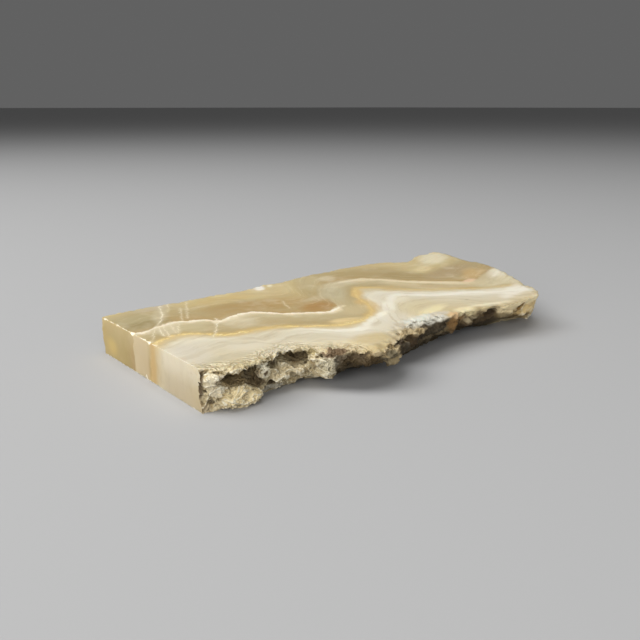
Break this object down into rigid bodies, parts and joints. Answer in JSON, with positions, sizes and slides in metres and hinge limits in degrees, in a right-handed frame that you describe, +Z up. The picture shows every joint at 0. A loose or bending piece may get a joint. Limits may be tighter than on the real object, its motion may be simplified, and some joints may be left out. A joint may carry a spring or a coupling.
{
  "type": "hokkaidoite slice",
  "caption": "Saw-cut slice of banded opal with sawn top, underside and one end, and its rough natural rind left along the other edges.",
  "frame": {"origin": "centre of the bounding box, on the sawn underside", "axes": "+X along the slice away from its sawn end, +Y towards the calm back edge, +Z up from the underside"},
  "size_m": [0.1072, 0.0554, 0.008],
  "materials": {
    "banded_opal": "satin sawn faces, dull rough rind, slightly translucent"
  },
  "bodies": {
    "root": {"opal_slice": "banded_opal"}
  },
  "joints": []
}
